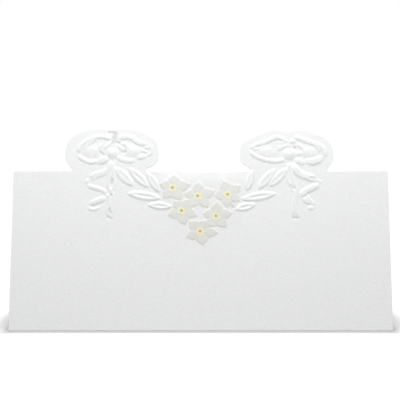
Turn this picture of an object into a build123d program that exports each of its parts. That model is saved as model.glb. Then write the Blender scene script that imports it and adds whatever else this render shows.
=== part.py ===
"""Folded place card, one sheet: two leaning panels, two die-cut tabs and an embossed garland.

Frame: X runs along the fold, the front panel faces -Y, +Z is up, and the
bottom edges stand on Z = 0 with the fold above the origin. Lengths are in
millimetres.
"""

import math
import os

from build123d import *

# Sheet and panels
CARD_WIDTH = 101.6
PANEL_HEIGHT = 44.45
SHEET_THICKNESS = 0.35
FOLD_INNER_RADIUS = 0.15
LEAN_DEG = 22.0

# Tabs and the ornament on them
BOW_SPACING = 48.3
TAB_WIDTH = 25.4
LEFT_KNOT_HEIGHT = 5.3
RIGHT_KNOT_HEIGHT = 5.0
DIE_CUT_GAP = 0.1

# Ribbon: full width at the sheet, width of its flat crest, rise above the sheet
LOOP_WIDTH = 1.2
LOOP_CREST = 0.4
LOOP_RISE = 0.45
TWIST_WIDTH = 0.75
TWIST_CREST = 0.2
TWIST_RISE = 0.26
TAIL_WIDTH = 1.2
TAIL_CREST = 0.45
TAIL_RISE = 0.42
STREAMER_WIDTH = 1.5
STREAMER_CREST = 0.8
STREAMER_RISE = 0.25
KNOT_WIDTH = 3.8
KNOT_HEIGHT = 3.4
KNOT_RISE = 0.6

# Leaves and flowers
LEAF_RISE = 0.42
FLOWER_WIDTH = 7.6
PETAL_COUNT = 5
PETAL_RISE = 0.14
BEAD_WIDTH = 1.5
BEAD_RISE = 0.32
BEAD_SIDES = 8

# Tab outlines over the top from neck to neck, as shares of TAB_WIDTH measured from the knot
LEFT_TAB_SHARES = (
    (-0.470, -0.125), (-0.504, -0.060), (-0.500, 0.030), (-0.465, 0.130),
    (-0.385, 0.215), (-0.270, 0.256), (-0.140, 0.268), (0.010, 0.262),
    (0.160, 0.266), (0.275, 0.240), (0.400, 0.185), (0.475, 0.115),
    (0.500, 0.010), (0.490, -0.080), (0.440, -0.145),
)
RIGHT_TAB_SHARES = (
    (-0.488, -0.120), (-0.530, -0.055), (-0.530, 0.050), (-0.480, 0.140),
    (-0.370, 0.198), (-0.220, 0.256), (-0.120, 0.265), (-0.020, 0.250),
    (0.090, 0.264), (0.225, 0.252), (0.360, 0.190), (0.440, 0.120),
    (0.475, 0.020), (0.468, -0.070), (0.430, -0.135),
)
# Ends of each neck along the fold, the same way
LEFT_NECK_SHARES = (-0.430, 0.370)
RIGHT_NECK_SHARES = (-0.425, 0.405)

# Ribbon middle lines, as shares of TAB_WIDTH measured from the knot
LEFT_LOOP_SHARES = (
    ((-0.030, 0.095), (-0.045, 0.130), (-0.090, 0.165), (-0.155, 0.178), (-0.215, 0.165),
     (-0.290, 0.130), (-0.350, 0.080), (-0.375, 0.010), (-0.345, -0.065), (-0.280, -0.100),
     (-0.215, -0.107), (-0.155, -0.098), (-0.055, -0.045)),
    ((0.040, 0.095), (0.058, 0.145), (0.090, 0.172), (0.140, 0.180), (0.197, 0.163),
     (0.255, 0.125), (0.320, 0.100), (0.380, 0.080), (0.410, 0.042), (0.385, -0.013),
     (0.320, -0.052), (0.263, -0.078), (0.172, -0.090), (0.060, -0.045)),
)
RIGHT_LOOP_SHARES = (
    ((-0.025, 0.090), (-0.040, 0.130), (-0.083, 0.166), (-0.133, 0.185), (-0.198, 0.164),
     (-0.262, 0.128), (-0.330, 0.110), (-0.405, 0.087), (-0.443, 0.053), (-0.422, 0.003),
     (-0.368, -0.045), (-0.305, -0.067), (-0.230, -0.089), (-0.155, -0.092), (-0.055, -0.045)),
    ((0.035, 0.095), (0.048, 0.145), (0.080, 0.177), (0.155, 0.157), (0.230, 0.123),
     (0.305, 0.103), (0.360, 0.060), (0.390, 0.012), (0.374, -0.025), (0.300, -0.065),
     (0.230, -0.089), (0.182, -0.097), (0.123, -0.092), (0.050, -0.045)),
)
LEFT_TWIST_SHARES = (
    ((-0.215, 0.140), (-0.280, 0.090), (-0.315, 0.035), (-0.298, -0.025), (-0.245, -0.065)),
    ((0.247, 0.108), (0.283, 0.060), (0.300, 0.010), (0.288, -0.035), (0.255, -0.068)),
    ((-0.040, 0.112), (-0.100, 0.078), (-0.155, 0.026), (-0.130, -0.017), (-0.060, -0.030)),
    ((0.050, 0.090), (0.100, 0.110), (0.150, 0.060), (0.130, 0.000), (0.065, -0.025)),
)
RIGHT_TWIST_SHARES = (
    ((-0.272, 0.103), (-0.305, 0.053), (-0.288, 0.003), (-0.240, -0.047)),
    ((0.235, 0.106), (0.288, 0.055), (0.305, 0.009), (0.278, -0.036)),
    ((-0.043, 0.100), (-0.100, 0.103), (-0.128, 0.065), (-0.117, 0.020), (-0.060, -0.012)),
    ((0.045, 0.090), (0.100, 0.087), (0.130, 0.047), (0.112, 0.003), (0.055, -0.025)),
)
LEFT_TAIL_SHARES = (
    (-0.035, -0.060), (-0.045, -0.130), (-0.070, -0.195), (-0.125, -0.235), (-0.205, -0.262),
    (-0.265, -0.295), (-0.288, -0.345), (-0.245, -0.385), (-0.180, -0.402), (-0.112, -0.425),
    (-0.076, -0.468), (-0.108, -0.515), (-0.165, -0.537), (-0.222, -0.553), (-0.275, -0.585),
    (-0.262, -0.640), (-0.195, -0.652), (-0.140, -0.622),
)
RIGHT_TAIL_SHARES = (
    (0.030, -0.060), (0.042, -0.130), (0.070, -0.188), (0.139, -0.228), (0.221, -0.255),
    (0.285, -0.285), (0.312, -0.335), (0.250, -0.368), (0.185, -0.395), (0.127, -0.428),
    (0.108, -0.482), (0.158, -0.515), (0.205, -0.542), (0.250, -0.585), (0.203, -0.625),
    (0.140, -0.612),
)
LEFT_STREAMER_SHARES = (
    (-0.004, -0.060), (-0.006, -0.165), (-0.030, -0.262), (-0.042, -0.320), (-0.024, -0.385),
    (-0.028, -0.452), (-0.038, -0.563), (-0.053, -0.652), (-0.035, -0.720),
)
RIGHT_STREAMER_SHARES = (
    (-0.004, -0.060), (-0.006, -0.130), (-0.003, -0.203), (0.001, -0.292), (0.027, -0.376),
    (0.032, -0.426), (0.021, -0.515), (0.027, -0.604), (0.041, -0.700),
)

# Half of the knot, as shares of its width and height, from the top notch down
KNOT_SHARES = (
    (0.00, 0.34), (0.22, 0.50), (0.44, 0.38), (0.50, 0.08), (0.38, -0.24), (0.00, -0.50),
)

# Leaves as two ends, shares of BOW_SPACING measured from the middle of the fold
LEAF_END_SHARES = (
    ((-0.482, 0.020), (-0.372, -0.087)),
    ((-0.406, 0.012), (-0.289, -0.103)),
    ((-0.290, -0.022), (-0.227, -0.125)),
    ((-0.415, -0.121), (-0.224, -0.157)),
    ((-0.294, -0.193), (-0.162, -0.204)),
    ((0.491, 0.022), (0.384, -0.090)),
    ((0.425, 0.012), (0.321, -0.106)),
    ((0.290, -0.016), (0.258, -0.122)),
    ((0.428, -0.117), (0.235, -0.146)),
    ((0.312, -0.188), (0.176, -0.206)),
)
# One lobe of a leaf: place along it, half width there, both as shares of its length
LEAF_EDGE_SHARES = ((0.12, 0.085), (0.32, 0.155), (0.55, 0.160), (0.78, 0.100))
LEAF_GROOVE_SHARE = 0.035
LEAF_CREST_SHARE = 0.38

# Flowers: middle as shares of BOW_SPACING, then the angle of one petal
FLOWER_PLACE_SHARES = (
    ((-0.158, -0.096), 84.0),
    ((-0.017, -0.145), 88.0),
    ((0.151, -0.136), 108.0),
    ((-0.107, -0.232), 127.0),
    ((0.085, -0.262), 83.0),
    ((-0.003, -0.351), 64.0),
)
# Half of a petal from tip to notch: turn from its middle line and reach, as shares
PETAL_SHARES = ((0.00, 1.00), (0.40, 0.80), (1.00, 0.56))
PETAL_CREST_SHARE = 0.90
BEAD_CREST_SHARE = 0.45
KNOT_CREST_SHARE = 0.45

LEAN = math.radians(LEAN_DEG)
FOLD_OUTER_RADIUS = FOLD_INNER_RADIUS + SHEET_THICKNESS
# Sheet length that the fold takes up, along its middle layer
FOLD_LENGTH = (math.pi - 2 * LEAN) * (FOLD_INNER_RADIUS + SHEET_THICKNESS / 2)
# The inner corner of each bottom edge is the lowest point
CREASE_Z = PANEL_HEIGHT * math.cos(LEAN) + SHEET_THICKNESS * math.sin(LEAN)
FOLD_AXIS_Z = CREASE_Z - FOLD_OUTER_RADIUS * math.sin(LEAN)


def panel_plane(side):
    """Outer face of a panel: x along the fold, y up the sheet, z outwards; side is -1 in front."""
    outward = Vector(0, side * math.cos(LEAN), math.sin(LEAN))
    crease = Vector(0, 0, FOLD_AXIS_Z) + outward * FOLD_OUTER_RADIUS
    return Plane(origin=crease, x_dir=(-side, 0, 0), z_dir=outward)


FRONT = panel_plane(-1)
BACK = panel_plane(1)


def scaled(shares, size, origin=(0, 0)):
    """Shares of a size as points about an origin."""
    return [(origin[0] + size * x, origin[1] + size * y) for x, y in shares]


def raised(base, crest, rise):
    """Solid with flat sloping sides from a base outline on the sheet up to a matching crest."""
    low = [Vector(x, y, 0) for x, y in base]
    high = [Vector(x, y, rise) for x, y in crest]
    faces = [Face(Wire.make_polygon(low)), Face(Wire.make_polygon(high))]
    for i in range(len(low)):
        j = (i + 1) % len(low)
        faces.append(Face(Wire.make_polygon([low[i], low[j], high[j], high[i]])))
    return Solid(Shell(faces))


def pillow(outline, rise, crest_share):
    """Raised form whose crest is its outline shrunk about its middle."""
    middle_x = sum(x for x, _ in outline) / len(outline)
    middle_y = sum(y for _, y in outline) / len(outline)
    crest = [
        (middle_x + crest_share * (x - middle_x), middle_y + crest_share * (y - middle_y))
        for x, y in outline
    ]
    return raised(outline, crest, rise)


def beside(points, distance):
    """The line moved to its left by a distance, mitred at each corner."""
    moved = []
    for i, (x, y) in enumerate(points):
        before = points[max(i - 1, 0)]
        after = points[min(i + 1, len(points) - 1)]
        headings = []
        for (ax, ay), (bx, by) in ((before, (x, y)), ((x, y), after)):
            length = math.hypot(bx - ax, by - ay)
            if length > 0:
                headings.append(((bx - ax) / length, (by - ay) / length))
        (hx, hy), (gx, gy) = headings[0], headings[-1]
        mitre = distance / (1 + hx * gx + hy * gy)
        moved.append((x - mitre * (hy + gy), y + mitre * (hx + gx)))
    return moved


def lengthened(points, extra):
    """The line with both ends drawn out by an extra length."""
    (ax, ay), (bx, by) = points[0], points[1]
    (cx, cy), (dx, dy) = points[-1], points[-2]
    first = extra / math.hypot(ax - bx, ay - by)
    last = extra / math.hypot(cx - dx, cy - dy)
    start = (ax + first * (ax - bx), ay + first * (ay - by))
    end = (cx + last * (cx - dx), cy + last * (cy - dy))
    return [start, *points[1:-1], end]


def ribbon(points, width, crest, rise):
    """Raised band that follows a line, with the same slope at its sides and ends."""
    foot = lengthened(points, (width - crest) / 2)
    base = beside(foot, -width / 2) + beside(foot, width / 2)[::-1]
    top = beside(points, -crest / 2) + beside(points, crest / 2)[::-1]
    return raised(base, top, rise)


def knot(origin):
    """Heart-shaped knot in the middle of a bow."""
    right = [(origin[0] + KNOT_WIDTH * x, origin[1] + KNOT_HEIGHT * y) for x, y in KNOT_SHARES]
    left = [(2 * origin[0] - x, y) for x, y in right[-2:0:-1]]
    return pillow(right + left, KNOT_RISE, KNOT_CREST_SHARE)


def leaf(base, tip):
    """Pointed leaf: two raised lobes that meet in a groove along its middle."""
    length = math.hypot(tip[0] - base[0], tip[1] - base[1])
    ux, uy = (tip[0] - base[0]) / length, (tip[1] - base[1]) / length

    def place(along, across):
        return (
            base[0] + length * (along * ux - across * uy),
            base[1] + length * (along * uy + across * ux),
        )

    lobes = []
    for side in (1, -1):
        outer = [place(along, side * half) for along, half in LEAF_EDGE_SHARES]
        middle = sum(along for along, _ in LEAF_EDGE_SHARES) / len(LEAF_EDGE_SHARES)
        inner = place(middle, -side * LEAF_GROOVE_SHARE)
        outline = [place(0, 0), *outer, place(1, 0), inner]
        lobes.append(pillow(outline, LEAF_RISE, LEAF_CREST_SHARE))
    return lobes


def flower(middle, petal_deg):
    """Star of pointed petals with a round bead in its middle."""
    half_turn = math.pi / PETAL_COUNT
    outline = []
    for petal in range(PETAL_COUNT):
        heading = math.radians(petal_deg) + 2 * petal * half_turn
        for turn, reach in (*PETAL_SHARES[:0:-1], *((-t, r) for t, r in PETAL_SHARES[:-1])):
            angle = heading - turn * half_turn
            radius = reach * FLOWER_WIDTH / 2
            outline.append((middle[0] + radius * math.cos(angle), middle[1] + radius * math.sin(angle)))
    bead = [
        (
            middle[0] + BEAD_WIDTH / 2 * math.cos(2 * math.pi * i / BEAD_SIDES),
            middle[1] + BEAD_WIDTH / 2 * math.sin(2 * math.pi * i / BEAD_SIDES),
        )
        for i in range(BEAD_SIDES)
    ]
    return [
        pillow(outline, PETAL_RISE, PETAL_CREST_SHARE),
        pillow(bead, BEAD_RISE, BEAD_CREST_SHARE),
    ]


def bow(origin, loops, twists, tail, streamer):
    """Ribbon bow with its knot, its wavy tail and its straight streamer."""
    forms = [ribbon(scaled(line, TAB_WIDTH, origin), LOOP_WIDTH, LOOP_CREST, LOOP_RISE) for line in loops]
    forms += [
        ribbon(scaled(line, TAB_WIDTH, origin), TWIST_WIDTH, TWIST_CREST, TWIST_RISE) for line in twists
    ]
    forms.append(ribbon(scaled(tail, TAB_WIDTH, origin), TAIL_WIDTH, TAIL_CREST, TAIL_RISE))
    forms.append(
        ribbon(scaled(streamer, TAB_WIDTH, origin), STREAMER_WIDTH, STREAMER_CREST, STREAMER_RISE)
    )
    forms.append(knot(origin))
    return forms


def tab_outline(shares, neck_shares, origin, grow):
    """Outline of a tab and its neck, grown all round: straight sides past the fold, then a curve."""
    left, right = (origin[0] + TAB_WIDTH * share for share in neck_shares)
    points = [(left, FOLD_LENGTH), *scaled(shares, TAB_WIDTH, origin), (right, FOLD_LENGTH)]
    edge = beside(points, grow)
    edge[0] = (left - grow, FOLD_LENGTH)
    edge[-1] = (right + grow, FOLD_LENGTH)
    foot = -FOLD_OUTER_RADIUS
    neck = Polyline(edge[-1], (right + grow, foot), (left - grow, foot), edge[0])
    return make_face([Spline(*edge), neck])


LEFT_KNOT = (-BOW_SPACING / 2, LEFT_KNOT_HEIGHT)
RIGHT_KNOT = (BOW_SPACING / 2, RIGHT_KNOT_HEIGHT)
TABS = (
    (LEFT_TAB_SHARES, LEFT_NECK_SHARES, LEFT_KNOT),
    (RIGHT_TAB_SHARES, RIGHT_NECK_SHARES, RIGHT_KNOT),
)


def embossing():
    """All raised forms, joined, on the outer face of the flat front panel."""
    forms = bow(LEFT_KNOT, LEFT_LOOP_SHARES, LEFT_TWIST_SHARES, LEFT_TAIL_SHARES, LEFT_STREAMER_SHARES)
    forms += bow(
        RIGHT_KNOT, RIGHT_LOOP_SHARES, RIGHT_TWIST_SHARES, RIGHT_TAIL_SHARES, RIGHT_STREAMER_SHARES
    )
    for ends in LEAF_END_SHARES:
        forms += leaf(*scaled(ends, BOW_SPACING))
    for place, petal_deg in FLOWER_PLACE_SHARES:
        forms += flower(scaled([place], BOW_SPACING)[0], petal_deg)
    return forms[0].fuse(*forms[1:])


def front_sheet():
    """Front panel with its tabs, raised outside and hollow inside by the same forms."""
    outline = Pos(0, -PANEL_HEIGHT / 2) * Rectangle(CARD_WIDTH, PANEL_HEIGHT)
    for tab in TABS:
        outline += tab_outline(*tab, 0)
    sheet = extrude(outline, -SHEET_THICKNESS)
    relief = embossing()
    return FRONT * (sheet + relief - Pos(0, 0, -SHEET_THICKNESS) * relief)


def folded_strip():
    """Fold and back panel as one bent strip, before its openings are cut."""
    down = Vector(0, math.sin(LEAN), -math.cos(LEAN)) * PANEL_HEIGHT
    axis = Vector(0, 0, FOLD_AXIS_Z)
    up = Vector(0, 0, 1)
    inner = [axis + direction * FOLD_INNER_RADIUS for direction in (FRONT.z_dir, up, BACK.z_dir)]
    outer = [axis + direction * FOLD_OUTER_RADIUS for direction in (FRONT.z_dir, up, BACK.z_dir)]
    profile = make_face(
        [
            ThreePointArc(*outer),
            Polyline(outer[2], outer[2] + down, inner[2] + down, inner[2]),
            ThreePointArc(*inner[::-1]),
            Line(inner[0], outer[0]),
        ]
    )
    return extrude(profile, CARD_WIDTH / 2, dir=(1, 0, 0), both=True)


def tab_opening(tab):
    """What a tab leaves behind: its outline turned over into the back panel, and the fold at its neck."""
    turned = Pos(0, FOLD_LENGTH) * (Rot(0, 0, 180) * tab_outline(*tab, DIE_CUT_GAP))
    return BACK * extrude(turned, 2 * FOLD_OUTER_RADIUS, both=True)


def folded_card():
    """The whole sheet as one solid."""
    strip = folded_strip()
    for tab in TABS:
        strip -= tab_opening(tab)
    return strip + front_sheet()


os.makedirs("parts", exist_ok=True)
export_step(folded_card(), "parts/folded_card.step")
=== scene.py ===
"""Looks of a folded place card: one sheet of pearly stock, cut, printed, embossed and folded.

The sheet is made as a card maker makes it. A flat blank is die cut, a die with the raised
ornament presses it, and it is folded over into a tent. Lengths are in metres. A place on the
flat blank is (along, up): along the fold from the middle of the card, and up the sheet from
the crease at the top of the front panel. The back panel lies above that crease until it is
folded, and the two tabs stay in the plane of the front panel.
"""

import logging
import math
from dataclasses import dataclass
from enum import Enum

import bmesh
import bpy
import numpy as np
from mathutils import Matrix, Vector
from mathutils.geometry import delaunay_2d_cdt
from mathutils.kdtree import KDTree


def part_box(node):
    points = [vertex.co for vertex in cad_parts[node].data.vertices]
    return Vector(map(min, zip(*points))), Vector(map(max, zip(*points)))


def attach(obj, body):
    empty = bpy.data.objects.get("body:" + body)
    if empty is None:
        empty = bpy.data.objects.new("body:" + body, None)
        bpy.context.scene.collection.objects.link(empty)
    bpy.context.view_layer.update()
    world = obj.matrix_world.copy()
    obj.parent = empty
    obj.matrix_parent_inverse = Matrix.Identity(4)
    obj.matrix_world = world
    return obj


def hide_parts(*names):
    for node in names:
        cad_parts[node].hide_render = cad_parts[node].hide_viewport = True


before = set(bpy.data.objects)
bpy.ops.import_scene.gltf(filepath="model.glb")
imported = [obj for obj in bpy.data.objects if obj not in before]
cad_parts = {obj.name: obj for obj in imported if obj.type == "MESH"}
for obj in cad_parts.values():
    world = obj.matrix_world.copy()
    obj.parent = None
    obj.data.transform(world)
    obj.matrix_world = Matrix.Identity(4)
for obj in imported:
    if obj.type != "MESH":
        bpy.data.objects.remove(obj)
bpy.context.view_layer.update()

LOG = logging.getLogger("place_card")
MM = 0.001
CARD_NODE = "folded_card"
PRINT_MAP = "flat_sheet"

Place = tuple[float, float]
Span = tuple[float, float]
Places = tuple[Place, ...]
Colour = tuple[float, float, float]


@dataclass(frozen=True)
class SheetSize:
    """Sizes of the sheet and of its fold."""

    width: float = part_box(CARD_NODE)[1].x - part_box(CARD_NODE)[0].x
    panel_height: float = 44.45 * MM
    thickness: float = 0.35 * MM
    inner_radius: float = 0.15 * MM
    lean: float = math.radians(22.0)
    cut_gap: float = 0.1 * MM
    edge_round: float = 0.03 * MM

    @property
    def outer_radius(self) -> float:
        """Radius of the outer face round the fold."""
        return self.inner_radius + self.thickness

    @property
    def middle_radius(self) -> float:
        """Radius of the layer that keeps its length in the fold."""
        return self.inner_radius + self.thickness / 2

    @property
    def fold_length(self) -> float:
        """Length of sheet that the fold takes up."""
        return (math.pi - 2 * self.lean) * self.middle_radius

    @property
    def axis_height(self) -> float:
        """Height of the fold's axis with the bottom edges on the table."""
        leaning = self.panel_height * math.cos(self.lean)
        return leaning + (self.thickness - self.outer_radius) * math.sin(self.lean)

    @property
    def foot(self) -> float:
        """Distance of a bottom edge from the middle of the tent."""
        return self.panel_height * math.sin(self.lean) + self.outer_radius * math.cos(self.lean)

    @property
    def flat_length(self) -> float:
        """Length of the flat blank from bottom edge to bottom edge."""
        return 2 * self.panel_height + self.fold_length

    @property
    def back_edge(self) -> float:
        """How far up the flat blank the back panel's bottom edge lies."""
        return self.flat_length - self.panel_height


SHEET = SheetSize()
BOW_SPACING = 48.3 * MM
TAB_WIDTH = 25.4 * MM


class Form(Enum):
    """Kinds of raised form on the die."""

    RIBBON = 0
    LEAF = 1
    PETAL = 2
    BEAD = 3
    KNOT = 4
    PILLOW = 5
    CREASE = 6


@dataclass(frozen=True)
class Ribbon:
    """A raised band: half width, rise, and its middle line in shares of the tab's width."""

    half_width: float
    rise: float
    line: Places


@dataclass(frozen=True)
class Pillow:
    """A soft swelling inside a loop, in shares of the tab's width."""

    middle: Place
    half_size: Place
    rise: float


@dataclass(frozen=True)
class BowPlan:
    """One bow with its tab, in shares of the tab's width measured from the knot."""

    knot: Place
    tab: Places
    neck: Place
    loops: tuple[Ribbon, ...]
    tail: tuple[Ribbon, ...]
    streamer: tuple[Ribbon, ...]
    creases: tuple[Places, ...]
    pillows: tuple[Pillow, ...]

    def scaled(self, shares: Places) -> list[Place]:
        """Shares of the tab's width as places on the sheet."""
        return [(self.knot[0] + TAB_WIDTH * x, self.knot[1] + TAB_WIDTH * y) for x, y in shares]

    def ribbons(self) -> list[tuple[Ribbon, list[Place]]]:
        """Every band of the bow with its middle line on the sheet."""
        return [(band, self.scaled(band.line)) for band in self.loops + self.tail + self.streamer]

    def neck_sides(self) -> tuple[float, float]:
        """Places along the fold where the two sides of the tab leave it."""
        left, right = (self.knot[0] + TAB_WIDTH * share for share in self.neck)
        return left, right


# How far the bands of the bows rise, from the broad ones to the fine rims
BAND_RISE = 0.16 * MM
LOOP_RISE = 0.12 * MM
STRAND_RISE = 0.10 * MM
RIM_RISE = 0.09 * MM
STREAMER_HALF_WIDTH = 0.42 * MM

LEFT_BOW = BowPlan(
    knot=(-BOW_SPACING / 2, 5.3 * MM),
    tab=(
        (-0.470, -0.125), (-0.504, -0.060), (-0.500, 0.030), (-0.465, 0.130),
        (-0.385, 0.215), (-0.270, 0.256), (-0.140, 0.268), (0.010, 0.262),
        (0.160, 0.266), (0.275, 0.240), (0.400, 0.185), (0.475, 0.115),
        (0.500, 0.010), (0.490, -0.080), (0.440, -0.145),
    ),
    neck=(-0.430, 0.370),
    loops=(
        Ribbon(0.70 * MM, LOOP_RISE, (
            (-0.361, -0.010), (-0.351, 0.045), (-0.318, 0.098), (-0.280, 0.127), (-0.238, 0.150),
            (-0.195, 0.170), (-0.146, 0.182), (-0.098, 0.180), (-0.050, 0.168), (-0.011, 0.155))),
        Ribbon(0.55 * MM, STRAND_RISE, (
            (-0.303, 0.020), (-0.280, 0.070), (-0.238, 0.108), (-0.199, 0.142), (-0.156, 0.170))),
        Ribbon(0.68 * MM, LOOP_RISE, (
            (-0.361, -0.010), (-0.343, -0.050), (-0.306, -0.078), (-0.262, -0.098), (-0.219, -0.107),
            (-0.175, -0.100), (-0.137, -0.088))),
        Ribbon(1.15 * MM, BAND_RISE, (
            (-0.168, -0.116), (-0.132, -0.104), (-0.093, -0.085), (-0.050, -0.062), (-0.021, -0.040))),
        Ribbon(0.65 * MM, STRAND_RISE, (
            (-0.084, 0.030), (-0.061, 0.065), (-0.031, 0.098), (-0.002, 0.122))),
        Ribbon(0.50 * MM, RIM_RISE, ((-0.137, 0.040), (-0.129, 0.078), (-0.103, 0.105))),
        Ribbon(0.90 * MM, LOOP_RISE, (
            (0.076, 0.145), (0.105, 0.170), (0.143, 0.182), (0.187, 0.177), (0.222, 0.160),
            (0.254, 0.133), (0.288, 0.112), (0.331, 0.104), (0.380, 0.096))),
        Ribbon(0.50 * MM, STRAND_RISE, ((0.346, 0.066), (0.380, 0.056), (0.411, 0.050))),
        Ribbon(0.45 * MM, RIM_RISE, ((0.297, 0.020), (0.326, 0.022), (0.360, 0.012), (0.382, -0.005))),
        Ribbon(0.80 * MM, LOOP_RISE, (
            (0.261, -0.072), (0.290, -0.058), (0.326, -0.044), (0.380, -0.034))),
        Ribbon(0.50 * MM, RIM_RISE, (
            (0.384, 0.092), (0.418, 0.062), (0.423, 0.020), (0.406, -0.018), (0.377, -0.034))),
        Ribbon(0.80 * MM, STRAND_RISE, (
            (0.047, -0.045), (0.095, -0.069), (0.143, -0.087), (0.191, -0.094), (0.244, -0.082))),
        Ribbon(0.60 * MM, STRAND_RISE, (
            (0.090, 0.085), (0.119, 0.098), (0.153, 0.085), (0.168, 0.050), (0.153, 0.018))),
        Ribbon(0.60 * MM, STRAND_RISE, ((0.060, 0.078), (0.083, 0.062), (0.106, 0.040), (0.129, 0.028))),
    ),
    tail=(
        Ribbon(0.68 * MM, LOOP_RISE, (
            (-0.014, -0.085), (-0.022, -0.130), (-0.038, -0.180), (-0.076, -0.212), (-0.136, -0.228),
            (-0.191, -0.250), (-0.238, -0.284))),
        Ribbon(0.60 * MM, STRAND_RISE, (
            (-0.032, -0.212), (-0.076, -0.238), (-0.126, -0.253), (-0.176, -0.280), (-0.221, -0.312))),
        Ribbon(0.60 * MM, RIM_RISE, ((-0.238, -0.290), (-0.266, -0.328), (-0.261, -0.362))),
        Ribbon(0.68 * MM, LOOP_RISE, (
            (-0.261, -0.362), (-0.226, -0.380), (-0.176, -0.397), (-0.126, -0.411), (-0.084, -0.432),
            (-0.054, -0.464))),
        Ribbon(0.50 * MM, RIM_RISE, ((-0.054, -0.462), (-0.040, -0.484), (-0.052, -0.508))),
        Ribbon(0.95 * MM, BAND_RISE, (
            (-0.050, -0.505), (-0.086, -0.520), (-0.136, -0.539), (-0.186, -0.560), (-0.234, -0.588))),
        Ribbon(0.50 * MM, STRAND_RISE, (
            (-0.234, -0.600), (-0.226, -0.628), (-0.186, -0.640), (-0.144, -0.624), (-0.116, -0.602))),
    ),
    streamer=(
        Ribbon(STREAMER_HALF_WIDTH, RIM_RISE, (
            (0.004, -0.105), (-0.002, -0.180), (-0.018, -0.250), (-0.032, -0.320), (-0.036, -0.380),
            (-0.011, -0.430), (0.014, -0.465), (0.010, -0.540), (0.000, -0.610), (0.010, -0.680))),
        Ribbon(STREAMER_HALF_WIDTH, RIM_RISE, (
            (0.014, -0.105), (0.018, -0.180), (0.026, -0.260), (0.032, -0.330), (0.022, -0.390),
            (-0.004, -0.435), (-0.022, -0.500), (-0.030, -0.580), (-0.046, -0.650), (-0.030, -0.706))),
    ),
    creases=(
        ((0.022, 0.222), (0.012, 0.160), (0.000, 0.100)),
        ((0.040, 0.215), (0.032, 0.160), (0.024, 0.110)),
        ((-0.035, 0.230), (0.000, 0.225), (0.040, 0.220)),
        ((0.044, 0.120), (0.060, 0.114), (0.074, 0.108)),
        ((-0.130, 0.008), (-0.110, -0.008), (-0.088, -0.026)),
        ((0.118, 0.002), (0.146, 0.012)),
        ((0.004, -0.300), (0.001, -0.348)),
        ((-0.004, -0.472), (0.002, -0.482)),
        ((-0.018, -0.636), (-0.020, -0.670)),
        ((-0.035, -0.722), (0.000, -0.738)),
    ),
    pillows=(
        Pillow((-0.225, 0.022), (0.120, 0.085), 0.14 * MM),
        Pillow((0.225, 0.020), (0.120, 0.085), 0.14 * MM),
    ),
)
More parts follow.
